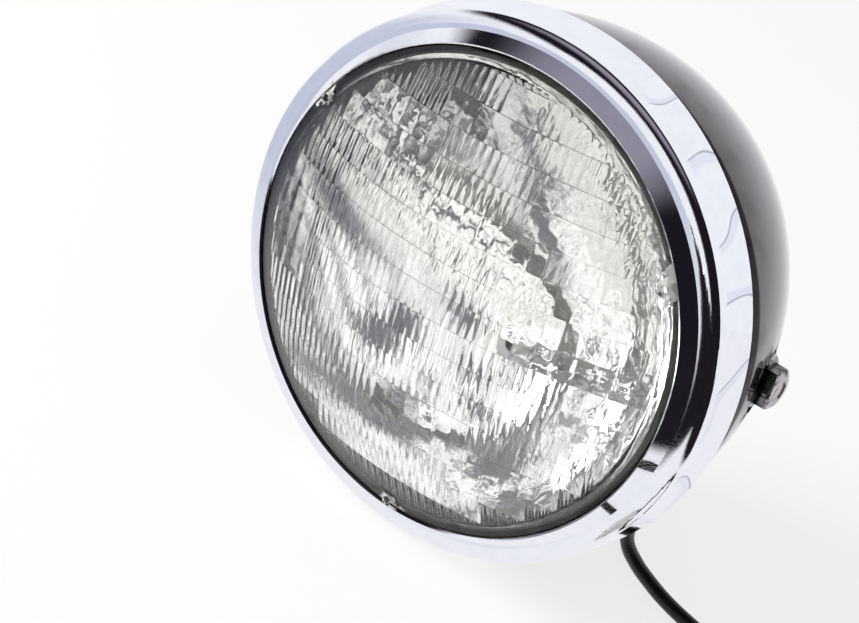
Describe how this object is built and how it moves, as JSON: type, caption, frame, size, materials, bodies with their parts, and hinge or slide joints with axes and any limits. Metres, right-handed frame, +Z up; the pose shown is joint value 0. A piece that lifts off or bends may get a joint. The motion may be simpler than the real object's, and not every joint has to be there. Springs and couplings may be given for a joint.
{
  "type": "motorcycle headlight",
  "caption": "Round side-mount motorcycle headlight: deep gloss-black bucket, chrome trim ring, fluted domed sealed-beam glass, hex side bolts and a lead with connector.",
  "frame": {"origin": "the point where the lamp's optical axis crosses the axis of the two side bolts", "axes": "-Y is the way the lamp shines, +X its right side seen from the front, along the side bolts, +Z up"},
  "size_m": [0.2751, 0.1767, 0.198],
  "materials": {
    "chrome": "mirror chrome",
    "lens_glass": "clear pressed glass with flutes",
    "mirror_coat": "aluminised glass",
    "black_gloss": "gloss black paint",
    "black_hardware": "black plated steel, oiled",
    "zinc_steel": "bright zinc plate",
    "filament_wire": "drawn wire",
    "brass_blade": "tinned brass",
    "rubber_black": "moulded rubber",
    "cord_black": "glossy flexible sheath",
    "socket_black": "moulded plastic",
    "plug_white": "moulded nylon"
  },
  "bodies": {
    "root": {"trim_ring": "chrome", "gasket": "rubber_black", "lens": "lens_glass", "reflector": "mirror_coat", "filament_high": "filament_wire", "filament_low": "filament_wire", "filament_post_common": "filament_wire", "filament_post_high": "filament_wire", "filament_post_low": "filament_wire", "filament_shield": "filament_wire", "terminal_top": "brass_blade", "terminal_left": "brass_blade", "terminal_right": "brass_blade", "retaining_ring": "zinc_steel", "retaining_screw_1": "zinc_steel", "retaining_screw_2": "zinc_steel", "retaining_screw_3": "zinc_steel", "trim_screw": "chrome", "trim_nut": "zinc_steel", "bucket": "black_gloss", "bolt_right": "black_hardware", "bolt_left": "black_hardware", "collar_right": "black_hardware", "collar_left": "black_hardware", "spring_washer_right": "black_hardware", "spring_washer_left": "black_hardware", "pad_nut_right": "zinc_steel", "pad_nut_left": "zinc_steel", "socket": "socket_black", "inner_lead": "cord_black", "grommet": "rubber_black", "cord": "cord_black", "cord_coil": "cord_black", "connector": "plug_white", "connector_pin_1": "brass_blade", "connector_pin_2": "brass_blade", "connector_pin_3": "brass_blade"}
  },
  "joints": []
}
